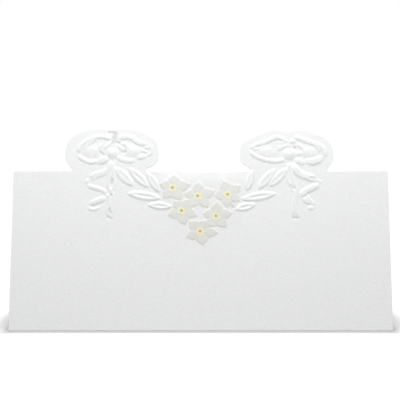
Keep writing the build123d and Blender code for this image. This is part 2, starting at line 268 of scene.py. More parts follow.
RIGHT_BOW = BowPlan(
    knot=(BOW_SPACING / 2, 5.0 * MM),
    tab=(
        (-0.488, -0.120), (-0.530, -0.055), (-0.530, 0.050), (-0.480, 0.140),
        (-0.370, 0.198), (-0.220, 0.256), (-0.120, 0.265), (-0.020, 0.250),
        (0.090, 0.264), (0.225, 0.252), (0.360, 0.190), (0.440, 0.120),
        (0.475, 0.020), (0.468, -0.070), (0.430, -0.135),
    ),
    neck=(-0.425, 0.405),
    loops=(
        Ribbon(0.70 * MM, LOOP_RISE, (
            (-0.426, 0.052), (-0.384, 0.084), (-0.331, 0.107), (-0.278, 0.124), (-0.235, 0.143),
            (-0.191, 0.165), (-0.148, 0.183), (-0.109, 0.185), (-0.069, 0.167), (-0.037, 0.138),
            (-0.020, 0.115))),
        Ribbon(0.50 * MM, RIM_RISE, (
            (-0.403, 0.045), (-0.350, 0.054), (-0.302, 0.062), (-0.273, 0.085), (-0.256, 0.105))),
        Ribbon(0.68 * MM, LOOP_RISE, (
            (-0.426, 0.045), (-0.403, 0.010), (-0.370, -0.022), (-0.321, -0.048), (-0.264, -0.066),
            (-0.206, -0.080), (-0.148, -0.084), (-0.090, -0.077), (-0.046, -0.058))),
        Ribbon(0.70 * MM, STRAND_RISE, (
            (-0.128, 0.030), (-0.104, 0.060), (-0.071, 0.080), (-0.032, 0.094), (-0.003, 0.098))),
        Ribbon(0.50 * MM, RIM_RISE, ((-0.100, 0.112), (-0.061, 0.122), (-0.027, 0.114))),
        Ribbon(0.70 * MM, STRAND_RISE, ((-0.003, 0.118), (0.024, 0.138), (0.053, 0.140), (0.082, 0.130))),
        Ribbon(0.80 * MM, LOOP_RISE, (
            (0.045, 0.165), (0.069, 0.182), (0.103, 0.176), (0.151, 0.160), (0.204, 0.137),
            (0.253, 0.118), (0.301, 0.107), (0.344, 0.080), (0.375, 0.035), (0.378, -0.010),
            (0.354, -0.042))),
        Ribbon(0.50 * MM, STRAND_RISE, ((0.253, 0.098), (0.286, 0.086), (0.315, 0.056), (0.325, 0.014))),
        Ribbon(0.90 * MM, LOOP_RISE, (
            (0.045, -0.058), (0.084, -0.077), (0.127, -0.097), (0.173, -0.112))),
        Ribbon(1.25 * MM, BAND_RISE, (
            (0.156, -0.084), (0.200, -0.086), (0.248, -0.089), (0.296, -0.074), (0.340, -0.050),
            (0.362, -0.026))),
        Ribbon(0.55 * MM, STRAND_RISE, ((0.069, 0.100), (0.103, 0.096), (0.128, 0.070), (0.134, 0.034))),
        Ribbon(0.70 * MM, LOOP_RISE, ((0.066, -0.022), (0.097, -0.003), (0.126, 0.014), (0.148, 0.026))),
    ),
    tail=(
        Ribbon(1.20 * MM, BAND_RISE, (
            (0.038, -0.098), (0.055, -0.158), (0.085, -0.208), (0.130, -0.237), (0.190, -0.260),
            (0.250, -0.283), (0.302, -0.306))),
        Ribbon(0.60 * MM, RIM_RISE, ((0.300, -0.300), (0.326, -0.320), (0.322, -0.344))),
        Ribbon(1.05 * MM, BAND_RISE, (
            (0.322, -0.338), (0.270, -0.368), (0.215, -0.396), (0.160, -0.428), (0.122, -0.470),
            (0.112, -0.504))),
        Ribbon(0.90 * MM, LOOP_RISE, ((0.116, -0.498), (0.155, -0.514), (0.195, -0.538), (0.238, -0.560))),
        Ribbon(0.50 * MM, STRAND_RISE, (
            (0.168, -0.460), (0.204, -0.506), (0.240, -0.553), (0.256, -0.590))),
        Ribbon(0.68 * MM, LOOP_RISE, ((0.258, -0.596), (0.225, -0.611), (0.180, -0.608))),
    ),
    streamer=(
        Ribbon(STREAMER_HALF_WIDTH, RIM_RISE, (
            (-0.008, -0.105), (-0.018, -0.200), (-0.022, -0.280), (0.000, -0.340), (0.030, -0.400),
            (0.048, -0.440), (0.036, -0.520), (0.028, -0.610), (0.034, -0.695))),
        Ribbon(STREAMER_HALF_WIDTH, RIM_RISE, (
            (0.008, -0.105), (0.018, -0.200), (0.032, -0.280), (0.056, -0.345), (0.078, -0.405),
            (0.070, -0.460), (0.060, -0.550), (0.064, -0.640), (0.074, -0.695))),
    ),
    creases=(
        ((0.052, 0.068), (0.062, 0.060)),
        ((0.004, -0.356), (0.044, -0.392)),
        ((0.226, -0.272), (0.266, -0.272)),
        ((0.030, -0.720), (0.084, -0.722)),
        ((-0.618, -0.592), (-0.602, -0.602), (-0.616, -0.612)),
    ),
    pillows=(
        Pillow((-0.255, 0.022), (0.135, 0.080), 0.15 * MM),
        Pillow((0.220, 0.020), (0.115, 0.085), 0.14 * MM),
    ),
)
BOWS = (LEFT_BOW, RIGHT_BOW)


@dataclass(frozen=True)
class Leaf:
    """A pointed leaf from its stalk end to its tip, in shares of the spacing of the bows.

    The groove is the share of the leaf's rise that its middle groove takes away.
    """

    stalk: Place
    tip: Place
    half_width: float
    groove: float

    def ends(self) -> tuple[np.ndarray, np.ndarray]:
        """Stalk end and tip as places on the sheet."""
        return BOW_SPACING * np.array(self.stalk), BOW_SPACING * np.array(self.tip)


LEAVES = (
    Leaf((-0.484, 0.022), (-0.376, -0.089), 1.60 * MM, 0.25),
    Leaf((-0.405, 0.018), (-0.290, -0.097), 1.50 * MM, 0.55),
    Leaf((-0.302, -0.006), (-0.230, -0.127), 1.35 * MM, 0.30),
    Leaf((-0.413, -0.130), (-0.222, -0.162), 1.50 * MM, 0.65),
    Leaf((-0.296, -0.199), (-0.158, -0.211), 1.30 * MM, 0.55),
    Leaf((0.489, 0.018), (0.383, -0.094), 1.50 * MM, 0.45),
    Leaf((0.421, 0.014), (0.319, -0.108), 1.50 * MM, 0.35),
    Leaf((0.295, 0.010), (0.257, -0.118), 1.30 * MM, 0.20),
    Leaf((0.424, -0.132), (0.224, -0.166), 1.50 * MM, 0.65),
    Leaf((0.307, -0.195), (0.192, -0.226), 1.35 * MM, 0.65),
)


@dataclass(frozen=True)
class FlowerShape:
    """Sizes that the six flowers share.

    The petals are pressed a margin past their ink. A dent beside each notch takes a share of the
    rise away: it deepens over two shares of the way to the notch and two of the reach. The print
    goes by how near a petal's edge and a bead lie, and either distance is held at its limit.
    """

    radius: float = 4.12 * MM
    notch_share: float = 0.63
    notch_power: float = 0.8
    rise: float = 0.08 * MM
    margin: float = 0.22 * MM
    flank: float = 0.14
    dent_share: float = 0.5
    dent_sides: Span = (0.7, 1.0)
    dent_reaches: Span = (0.2, 0.5)
    bead_radius: float = 0.98 * MM
    bead_rise: float = 0.13 * MM
    bead_limit_share: float = 3.0
    core_radius: float = 0.42 * MM
    edge_reach: float = 0.3 * MM
    edge_limit: float = 0.5 * MM


FLOWER = FlowerShape()


@dataclass(frozen=True)
class Flower:
    """A five-petalled flower: its bead in shares of the spacing of the bows, and its petals.

    Each petal is the turn of its tip in degrees and its reach as a share of the radius. The ink
    is the share that the petals' colour takes over the stock's.
    """

    bead: Place
    petals: Places
    ink: float = 0.155

    def centre(self) -> np.ndarray:
        """Place of the bead on the sheet."""
        return BOW_SPACING * np.array(self.bead)

    def halves(self) -> list[tuple[float, float, float, float]]:
        """Both halves of each petal: turn of the tip, turn on to the notch, reach of tip and notch."""
        found = []
        for number, (degrees, share) in enumerate(self.petals):
            for beside in (number - 1, (number + 1) % len(self.petals)):
                gap = self.petals[beside][0] - degrees
                gap -= 360 * round(gap / 360)
                notch = (share + self.petals[beside][1]) / 2 * FLOWER.notch_share
                reach = (share * FLOWER.radius, notch * FLOWER.radius)
                found.append((math.radians(degrees), math.radians(gap / 2), *reach))
        return found

    def outline(self, turn: np.ndarray) -> np.ndarray:
        """Distance of the outline from the bead at each turn."""
        reach = np.zeros(len(turn))
        for heading, spread, tip, notch in self.halves():
            away = (turn - heading + math.pi) % (2 * math.pi) - math.pi
            share = away / spread
            edge = tip - (tip - notch) * np.abs(share) ** FLOWER.notch_power
            reach = np.where((share >= 0) & (share <= 1), np.maximum(reach, edge), reach)
        return reach


FLOWERS = (
    Flower((-0.158, -0.096), ((10, 1.24), (81, 0.99), (164, 0.89), (231, 0.96), (302, 1.10))),
    Flower((-0.017, -0.145), ((15, 1.20), (88, 0.99), (170, 0.89), (246, 0.82), (310, 1.08))),
    Flower((0.151, -0.136), ((35, 1.08), (108, 1.06), (187, 0.87), (268, 0.94), (329, 0.92))),
    Flower((-0.107, -0.232), ((48, 1.14), (125, 0.82), (201, 0.96), (282, 1.02), (340, 1.13)), 0.19),
    Flower((0.085, -0.262), ((10, 1.10), (84, 1.02), (169, 0.86), (232, 0.98), (312, 1.08)), 0.19),
    Flower((-0.003, -0.351), ((51, 0.97), (135, 1.00), (206, 1.01), (282, 0.99), (355, 1.21)), 0.235),
)


@dataclass(frozen=True)
class LeafShape:
    """Shape that the leaves share, in shares of a leaf's length and half width.

    A lower power of the outline makes a fuller leaf. The groove deepens from the first to the
    second of its shares of the length, and its floor and rim are shares of the half width.
    """

    rise: float = 0.14 * MM
    outline_power: float = 0.85
    groove_run: Span = (0.1, 0.4)
    groove_side: Span = (0.02, 0.36)
    flank: float = 0.5
    end_run: float = 0.12
    end_power: float = 0.5


@dataclass(frozen=True)
class KnotShape:
    """Heart shape of the knots, in shares of their radius.

    The notch on top and the point below start at two heights and change the radius by a share.
    The crease down the middle has a half width, two reaches over which it deepens, and a depth
    as a share of the dome.
    """

    half_width: float = 1.9 * MM
    half_height: float = 1.8 * MM
    rise: float = 0.22 * MM
    notch_start: float = 0.75
    notch_share: float = 0.28
    point_start: float = 0.3
    point_share: float = 0.06
    crease_side: float = 0.22
    crease_run: Span = (0.15, 0.6)
    crease_share: float = 0.3


@dataclass(frozen=True)
class Crease:
    """Size of the sunk creases, and the step at which their lines are sampled."""

    half_width: float = 0.58 * MM
    depth: float = 0.08 * MM
    step: float = 0.2 * MM


@dataclass(frozen=True)
class Pucker:
    """How the sheet swells between the bows, where the embossing pulls it away from the fold.

    It rises over a run below the fold and then fades out. Along the fold it stays level over a
    share of its half width.
    """

    rise: float = 0.16 * MM
    half_width: float = 14.0 * MM
    level_share: float = 0.6
    run: float = 3.2 * MM
    fade: float = 16.0 * MM


LEAF = LeafShape()
KNOT = KnotShape()
CREASE = Crease()
PUCKER = Pucker()


def new_object(name: str, data: bpy.types.ID) -> bpy.types.Object:
    """A new object with this data, linked into the scene."""
    made = bpy.data.objects.new(name, data)
    bpy.context.scene.collection.objects.link(made)
    return made


def store_numbers(mesh: bpy.types.Mesh, numbers: dict[str, np.ndarray | list[float]]) -> None:
    """Stores a number on each point of a mesh under each name."""
    for name, values in numbers.items():
        stored = mesh.attributes.new(name, "FLOAT", "POINT")
        stored.data.foreach_set("value", np.array(values, dtype=np.float32))


class Link:
    """An output socket that takes part in sums as a number does."""

    def __init__(self, board: "Board", socket: bpy.types.NodeSocket) -> None:
        """Keeps the socket and the board that its tree is laid out on."""
        self.board = board
        self.socket = socket

    def __add__(self, other: object) -> "Link":
        """Sum."""
        return self.board.call("ADD", self, other)

    def __sub__(self, other: object) -> "Link":
        """Difference."""
        return self.board.call("SUBTRACT", self, other)

    def __rsub__(self, other: object) -> "Link":
        """Difference with this link taken away."""
        return self.board.call("SUBTRACT", other, self)

    def __mul__(self, other: object) -> "Link":
        """Product."""
        return self.board.call("MULTIPLY", self, other)

    def __truediv__(self, other: object) -> "Link":
        """Quotient."""
        return self.board.call("DIVIDE", self, other)

    def __pow__(self, other: object) -> "Link":
        """Power."""
        return self.board.call("POWER", self, other)

    def __neg__(self) -> "Link":
        """Opposite."""
        return self.board.call("MULTIPLY", self, -1.0)

    def __lt__(self, other: object) -> "Link":
        """1 where this is less than the other, else 0."""
        return self.board.call("LESS_THAN", self, other)


class Board:
    """A node tree laid out by code, through one method that adds any node."""

    def __init__(self, tree: bpy.types.NodeTree) -> None:
        """Takes an empty tree."""
        self.tree = tree

    def node(
        self,
        kind: str,
        settings: dict[str, object] | None = None,
        inputs: dict[int | str, object] | None = None,
        output: int | str = 0,
    ) -> Link | None:
        """Adds a node.

        Args:
            kind: the node's type.
            settings: its properties, set before its sockets.
            inputs: a value or a link for each socket, by place or name.
            output: the output that is wanted, by place or name.

        Returns:
            The wanted output, or nothing from a node that has none.
        """
        made = self.tree.nodes.new(kind)
        for name, value in (settings or {}).items():
            setattr(made, name, value)
        for key, value in (inputs or {}).items():
            self.feed(self.socket(made.inputs, key), value)
        return Link(self, self.socket(made.outputs, output)) if len(made.outputs) else None

    @staticmethod
    def socket(sockets: bpy.types.bpy_prop_collection, key: int | str) -> bpy.types.NodeSocket:
        """The socket in use that has this place or name."""
        used = [socket for socket in sockets if socket.enabled]
        if isinstance(key, int):
            return used[key]
        return next(socket for socket in used if socket.name == key)

    def feed(self, socket: bpy.types.NodeSocket, value: object) -> None:
        """Links a socket, or sets its value; a list of links goes into a socket that joins."""
        for part in value if isinstance(value, list) else [value]:
            if isinstance(part, Link):
                self.tree.links.new(part.socket, socket)
            else:
                socket.default_value = part

    def call(self, operation: str, *values: object) -> Link:
        """Math node with an operation and the numbers that it takes."""
        return self.node("ShaderNodeMath", {"operation": operation}, dict(enumerate(values)))

    def limited(self, value: object, low: object, high: object) -> Link:
        """Value held between two limits."""
        return self.node("ShaderNodeClamp", {}, {"Value": value, "Min": low, "Max": high})

    def smooth(self, value: object, low: float, high: float) -> Link:
        """Smooth step from 0 at the low limit to 1 at the high one."""
        return self.node(
            "ShaderNodeMapRange",
            {"interpolation_type": "SMOOTHSTEP"},
            {"Value": value, "From Min": low, "From Max": high, "To Min": 0.0, "To Max": 1.0},
            "Result",
        )

    def parts(self, vector: Link) -> tuple[Link, Link, Link]:
        """The three numbers of a vector."""
        first = self.node("ShaderNodeSeparateXYZ", {}, {0: vector})
        return tuple(Link(self, socket) for socket in first.socket.node.outputs)

    def vector(self, x: object, y: object, z: object) -> Link:
        """A vector from its three numbers."""
        return self.node("ShaderNodeCombineXYZ", {}, {0: x, 1: y, 2: z})

    def mix_colour(self, share: Link, below: Colour | Link, above: Colour | Link) -> Link:
        """The upper colour over the lower one by a share."""
        tones = [(*tone, 1.0) if isinstance(tone, tuple) else tone for tone in (below, above)]
        inputs = {"Factor": share, "A": tones[0], "B": tones[1]}
        return self.node("ShaderNodeMix", {"data_type": "RGBA"}, inputs, "Result")


def cleared_board(owner: bpy.types.Material | bpy.types.World) -> Board:
    """An empty node tree for a material or a world."""
    owner.use_nodes = True
    owner.node_tree.nodes.clear()
    return Board(owner.node_tree)


class GeometryBoard(Board):
    """A geometry node tree with named inputs, which ends in Realize Instances and Set Material."""

    def __init__(self, name: str, inputs: dict[str, tuple[str, object]]) -> None:
        """Makes the tree.

        Args:
            name: the tree's name.
            inputs: socket type and default value of each named input.
        """
        super().__init__(bpy.data.node_groups.new(name, "GeometryNodeTree"))
        face = self.tree.interface
        face.new_socket("Geometry", in_out="INPUT", socket_type="NodeSocketGeometry")
        self.named = {}
        for label, (kind, default) in inputs.items():
            item = face.new_socket(label, in_out="INPUT", socket_type=kind)
            if default is not None:
                item.default_value = default
            self.named[label] = item.identifier
        face.new_socket("Geometry", in_out="OUTPUT", socket_type="NodeSocketGeometry")
        self.start = self.tree.nodes.new("NodeGroupInput")

    def given(self, name: str) -> Link:
        """One of the tree's inputs."""
        return Link(self, self.start.outputs[name])

    def attribute(self, name: str) -> Link:
        """A number that the geometry's points carry under this name."""
        return self.node("GeometryNodeInputNamedAttribute", {"data_type": "FLOAT"}, {"Name": name})

    def place(self) -> tuple[Link, Link, Link]:
        """The three numbers of the position."""
        return self.parts(self.node("GeometryNodeInputPosition"))

    def moved(self, geometry: Link, x: object, y: object, z: object) -> Link:
        """The geometry with every point put at a new place."""
        return self.node(
            "GeometryNodeSetPosition", {}, {"Geometry": geometry, "Position": self.vector(x, y, z)}
        )

    def stored(self, geometry: Link, name: str, value: object) -> Link:
        """The geometry with a number stored on its points."""
        return self.node(
            "GeometryNodeStoreNamedAttribute",
            {"data_type": "FLOAT", "domain": "POINT"},
            {"Geometry": geometry, "Name": name, "Value": value},
        )

    def close(self, geometry: Link, material: Link) -> None:
        """Ends the tree with the geometry, realized and with its material."""
        real = self.node("GeometryNodeRealizeInstances", {}, {"Geometry": geometry})
        dressed = self.node("GeometryNodeSetMaterial", {}, {"Geometry": real, "Material": material})
        end = self.tree.nodes.new("NodeGroupOutput")
        self.feed(end.inputs["Geometry"], dressed)

    def baked(self, source: bpy.types.Object, values: dict[str, object], name: str) -> bpy.types.Object:
        """Runs the tree on an object and takes the result as a plain mesh.

        Args:
            source: the object whose mesh goes in; it is removed.
            values: a value for each named input that isn't left at its default.
            name: name of the new object.

        Returns:
            The new object, with its mesh and no modifier.
        """
        modifier = source.modifiers.new(self.tree.name, "NODES")
        modifier.node_group = self.tree
        for label, value in values.items():
            modifier[self.named[label]] = value
        evaluated = source.evaluated_get(bpy.context.evaluated_depsgraph_get())
        mesh = bpy.data.meshes.new_from_object(evaluated)
        bpy.data.objects.remove(source)
        mesh.name = name
        return new_object(name, mesh)


class Layout:
    """Places of the forms as points and lines, with the numbers that a tree reads there."""

    NUMBERS = (
        "form", "half_width", "half_height", "rise", "heading", "length", "groove", "spread", "tip",
        "notch",
    )

    def __init__(self) -> None:
        """Starts an empty layout."""
        self.points: list[Place] = []
        self.edges: list[tuple[int, int]] = []
        self.rows: list[list[float]] = []

    def add(self, form: Form, places: list[Place], **numbers: float) -> None:
        """Adds one place or a line of places.

        Args:
            form: the form that stands there.
            places: the place, or the places in order along the line.
            **numbers: the form's numbers by name; the others are 0.
        """
        start = len(self.points)
        self.points += places
        self.edges += [(i, i + 1) for i in range(start, len(self.points) - 1)]
        row = {"form": float(form.value), **numbers}
        self.rows += [[row.get(name, 0.0) for name in self.NUMBERS]] * len(places)

    def build(self, name: str) -> bpy.types.Object:
        """The layout as an object."""
        mesh = bpy.data.meshes.new(name)
        mesh.from_pydata([(x, y, 0.0) for x, y in self.points], self.edges, [])
        store_numbers(mesh, dict(zip(self.NUMBERS, np.array(self.rows).T)))
        return new_object(name, mesh)


class EmbossingDie:
    """The raised ornament as forms that stand on the flat sheet, swept and set out by nodes.

    The flank of a band is a share of its half width. A band gets lower and narrower over a run
    at each end, given in half widths, down to a share of its width.
    """

    POLAR_STEPS = 61
    RINGS = 17
    PETAL_STEPS = 13
    LEAF_STEPS = (33, 25)
    PROFILE_POINTS = 15
    STEP = 0.12 * MM
    FLANK = 0.5
    TAPER_RUN = 1.6
    TAPER_START = -0.25
    END_WIDTH = 0.4

    def __init__(self) -> None:
        """Lays out the tree of the die."""
        self.board = GeometryBoard(
            "embossing_die",
            {
                "Step": ("NodeSocketFloat", self.STEP),
                "Leaf Rise": ("NodeSocketFloat", LEAF.rise),
                "Petal Rise": ("NodeSocketFloat", FLOWER.rise),
                "Bead Radius": ("NodeSocketFloat", FLOWER.bead_radius),
                "Bead Rise": ("NodeSocketFloat", FLOWER.bead_rise),
                "Material": ("NodeSocketMaterial", None),
            },
        )
        b = self.board
        forms = [self._ribbons(), self._leaves(), self._petals(), self._beads()]
        forms += [self._knots(), self._pillows()]
        joined = b.node("GeometryNodeJoinGeometry", {}, {"Geometry": forms})
        b.close(joined, b.given("Material"))

    def _only(self, form: Form) -> dict[str, Link]:
        """Inputs of a node that takes the layout's points of one form."""
        gap = self.board.attribute("form") - float(form.value)
        same = self.board.call("ABSOLUTE", gap) < 0.5
        return {"Mesh": self.board.given("Geometry"), "Selection": same}

    def _ribbons(self) -> Link:
        """Bands swept along their middle lines, tapered at both ends."""
        b = self.board
        lines = b.node("GeometryNodeMeshToCurve", {}, self._only(Form.RIBBON))
        lines = b.node("GeometryNodeCurveSplineType", {"spline_type": "CATMULL_ROM"}, {"Curve": lines})
        lines = b.node(
            "GeometryNodeResampleCurve", {"mode": "LENGTH"}, {"Curve": lines, "Length": b.given("Step")}
        )
        done = b.node("GeometryNodeSplineParameter", {}, {}, "Length")
        whole = b.node("GeometryNodeSplineLength", {}, {}, "Length")
        width = b.attribute("half_width")
        from_end = b.call("MINIMUM", done, whole - done) / (width * self.TAPER_RUN)
        lines = b.stored(lines, "taper", b.smooth(from_end, self.TAPER_START, 1.0))
        line = b.node("GeometryNodeCurvePrimitiveLine", {}, {"Start": (-1, 0, 0), "End": (1, 0, 0)})
        line = b.node("GeometryNodeResampleCurve", {}, {"Curve": line, "Count": self.PROFILE_POINTS})
        profile = b.stored(line, "across", b.place()[0])
        scale = width * (b.attribute("taper") * (1 - self.END_WIDTH) + self.END_WIDTH)
        swept = b.node(
            "GeometryNodeCurveToMesh", {}, {"Curve": lines, "Profile Curve": profile, "Scale": scale}
        )
        side = b.call("ABSOLUTE", b.attribute("across"))
        x, y, _ = b.place()
        rise = b.attribute("rise") * b.attribute("taper")
        return b.moved(swept, x, y, rise * b.smooth(1 - side, 0.0, self.FLANK))

    def _grid(self, wide: int, high: int) -> tuple[Link, Link, Link]:
        """A grid with both of its coordinates from 0 to 1."""
        b = self.board
        grid = b.node(
            "GeometryNodeMeshGrid",
            {},
            {"Size X": 1.0, "Size Y": 1.0, "Vertices X": wide, "Vertices Y": high},
        )
        x, y, _ = b.place()
        return grid, x + 0.5, y + 0.5

    def _polar_grid(self) -> tuple[Link, Link, Link]:
        """A grid with its turn round a disc and its reach from the disc's middle."""
        grid, share, reach = self._grid(self.POLAR_STEPS, self.RINGS)
        return grid, share * (2 * math.pi), reach

    def _disc(self, radius: object, lift: object, turn: Link, reach: Link, grid: Link) -> Link:
        """The grid wrapped round to a unit disc with an outline and a lift."""
        b = self.board
        far = reach * radius
        return b.moved(grid, far * b.call("COSINE", turn), far * b.call("SINE", turn), lift)

    def _set_out(self, form: Form, unit: Link, scale: object) -> Link:
        """A unit form at each of its places."""
        b = self.board
        points = b.node("GeometryNodeMeshToPoints", {}, self._only(form))
        turn = b.node("FunctionNodeEulerToRotation", {}, {0: b.vector(0, 0, b.attribute("heading"))})
        return b.node(
            "GeometryNodeInstanceOnPoints",
            {},
            {"Points": points, "Instance": unit, "Rotation": turn, "Scale": scale},
        )

    def _leaves(self) -> Link:
        """Leaves with two flat lobes and a groove between them."""
        b = self.board
        grid, along, across = self._grid(*self.LEAF_STEPS)
        side = across * 2 - 1
        outline = b.limited(along * (1 - along) * 4, 0, 1) ** LEAF.outline_power
        far = b.call("ABSOLUTE", side)
        from_end = b.call("MINIMUM", along, 1 - along)
        sunk = b.smooth(from_end, *LEAF.groove_run) * (1 - b.smooth(far, *LEAF.groove_side))
        ends = b.limited(from_end / LEAF.end_run, 0, 1) ** LEAF.end_power
        lobe = b.smooth(1 - far, 0.0, LEAF.flank) * ends
        unit = b.stored(b.stored(grid, "sunk", sunk), "lobe", lobe)
        unit = b.moved(unit, along, side * outline, 0.0)
        scale = b.vector(b.attribute("length"), b.attribute("half_width"), 1.0)
        placed = self._set_out(Form.LEAF, unit, scale)
        leaves = b.node("GeometryNodeRealizeInstances", {}, {"Geometry": placed})
        x, y, _ = b.place()
        left = 1 - b.attribute("sunk") * b.attribute("groove")
        return b.moved(leaves, x, y, b.attribute("lobe") * left * b.given("Leaf Rise"))

    def _petals(self) -> Link:
        """Flat petals, each in two halves that run from its tip to the notches beside it."""
        b = self.board
        grid, share, reach = self._grid(self.PETAL_STEPS, self.RINGS)
        grid = b.stored(b.stored(grid, "share", share), "reach", reach)
        placed = self._set_out(Form.PETAL, grid, (0.0, 0.0, 0.0))
        halves = b.node("GeometryNodeRealizeInstances", {}, {"Geometry": placed})
        share, reach = b.attribute("share"), b.attribute("reach")
        turn = b.attribute("heading") + b.attribute("spread") * share
        tip = b.attribute("tip")
        far = (tip - (tip - b.attribute("notch")) * share**FLOWER.notch_power) * reach
        dent = b.smooth(share, *FLOWER.dent_sides) * b.smooth(reach, *FLOWER.dent_reaches)
        lift = b.smooth(1 - reach, 0.0, FLOWER.flank) * (1 - dent * FLOWER.dent_share)
        lift = lift * b.given("Petal Rise")
        x, y, _ = b.place()
        return b.moved(halves, x + far * b.call("COSINE", turn), y + far * b.call("SINE", turn), lift)

    def _beads(self) -> Link:
        """Round beads in the middles of the flowers."""
        b = self.board
        grid, turn, reach = self._polar_grid()
        unit = self._disc(1.0, 1 - reach * reach, turn, reach, grid)
        scale = b.vector(b.given("Bead Radius"), b.given("Bead Radius"), b.given("Bead Rise"))
        return self._set_out(Form.BEAD, unit, scale)

    def _pillows(self) -> Link:
        """Soft swellings that fade out towards their edges."""
        b = self.board
        grid, turn, reach = self._polar_grid()
        unit = self._disc(1.0, (1 - reach * reach) ** 2.0, turn, reach, grid)
        scale = b.vector(b.attribute("half_width"), b.attribute("half_height"), b.attribute("rise"))
        return self._set_out(Form.PILLOW, unit, scale)

    def _knots(self) -> Link:
        """Heart-shaped knots: a notch on top, a point below and a crease down the middle."""
        b = self.board
        grid, turn, reach = self._polar_grid()
        up = b.call("SINE", turn)
        notch = b.smooth(up, KNOT.notch_start, 1.0) * KNOT.notch_share
        point = b.smooth(-up, KNOT.point_start, 1.0) * KNOT.point_share
        dome = 1 - reach * reach
        beside = b.call("ABSOLUTE", b.call("COSINE", turn) * reach)
        crease = (1 - b.smooth(beside, 0.0, KNOT.crease_side)) * b.smooth(reach, *KNOT.crease_run)
        lift = dome * (1 - crease * KNOT.crease_share)
        unit = self._disc(1 - notch + point, lift, turn, reach, grid)
        scale = b.vector(KNOT.half_width, KNOT.half_height, KNOT.rise)
        return self._set_out(Form.KNOT, unit, scale)

    @staticmethod
    def layout() -> bpy.types.Object:
        """Middle lines and places of the forms, with the numbers that the tree reads."""
        plan = Layout()
        for bow in BOWS:
            for band, line in bow.ribbons():
                plan.add(Form.RIBBON, line, half_width=band.half_width, rise=band.rise)
            for pillow in bow.pillows:
                wide, high = (TAB_WIDTH * share for share in pillow.half_size)
                middle = bow.scaled((pillow.middle,))
                plan.add(Form.PILLOW, middle, half_width=wide, half_height=high, rise=pillow.rise)
            plan.add(Form.KNOT, [bow.knot])
        for leaf in LEAVES:
            stalk, tip = leaf.ends()
            way = tip - stalk
            heading, length = math.atan2(way[1], way[0]), float(np.hypot(*way))
            sizes = {"half_width": leaf.half_width, "length": length, "groove": leaf.groove}
            plan.add(Form.LEAF, [tuple(stalk)], heading=heading, **sizes)
        for flower in FLOWERS:
            bead = [tuple(flower.centre())]
            plan.add(Form.BEAD, bead)
            for heading, spread, *reaches in flower.halves():
                tip, notch = (reach + FLOWER.margin for reach in reaches)
                plan.add(Form.PETAL, bead, heading=heading, spread=spread, tip=tip, notch=notch)
        return plan.build("ornament_layout")

    def build(self) -> bpy.types.Object:
        """The die as a plain mesh on the flat sheet."""
        return self.board.baked(self.layout(), {}, "embossing_die")


def curve_through(points: list[Place], step: float) -> list[Place]:
    """Smooth curve through places, sampled about every step.

    Args:
        points: places that the curve goes through.
        step: distance between samples.

    Returns:
        The samples, from the first place to the last.
    """
    path = np.array(points)
    path = np.vstack([2 * path[0] - path[1], path, 2 * path[-1] - path[-2]])
    found: list[Place] = []
    for a, b, c, d in zip(path, path[1:], path[2:], path[3:]):
        count = max(2, round(float(np.linalg.norm(c - b)) / step))
        for t in np.arange(count) / count:
            bend = 2 * b + (c - a) * t + (2 * a - 5 * b + 4 * c - d) * t**2
            found.append(tuple((bend + (3 * b - a - 3 * c + d) * t**3) / 2))
    return [*found, tuple(path[-2])]


def crease_lines() -> bpy.types.Object:
    """Middle lines of the creases that the die leaves sunk."""
    plan = Layout()
    for bow in BOWS:
        for crease in bow.creases:
            plan.add(Form.CREASE, curve_through(bow.scaled(crease), CREASE.step))
    return plan.build("crease_lines")


def moved_aside(loop: list[Place], distance: float) -> list[Place]:
    """A closed loop moved to its left by a distance, mitred at each corner."""
    here = np.array(loop)
    ahead = np.roll(here, -1, axis=0) - here
    ahead /= np.linalg.norm(ahead, axis=1)[:, None]
    behind = np.roll(ahead, 1, axis=0)
    both = ahead + behind
    mitre = distance / (1 + (ahead * behind).sum(axis=1))
    aside = np.stack([-both[:, 1], both[:, 0]], axis=1) * mitre[:, None]
    return [tuple(place) for place in here + aside]


def inside(places: np.ndarray, loop: list[Place]) -> np.ndarray:
    """Which places lie inside a closed loop."""
    found = np.zeros(len(places), bool)
    x, y = places[:, 0], places[:, 1]
    for (ax, ay), (bx, by) in zip(loop, [*loop[1:], loop[0]]):
        if ay == by:
            continue
        spans = (ay > y) != (by > y)
        found ^= spans & (x < ax + (y - ay) * (bx - ax) / (by - ay))
    return found


@dataclass
class CutLine:
    """A closed edge of the blank: its places, and which of them belong to a tab."""

    loop: list[Place]
    on_tab: list[bool]


@dataclass
class Layer:
    """One face of the blank: its points, its triangles and the points along each cut line.

    How much each point bends with the fold is 1 or, on a tab, 0.
    """

    places: np.ndarray
    faces: list[tuple[int, ...]]
    rings: list[list[int]]
    bends: np.ndarray


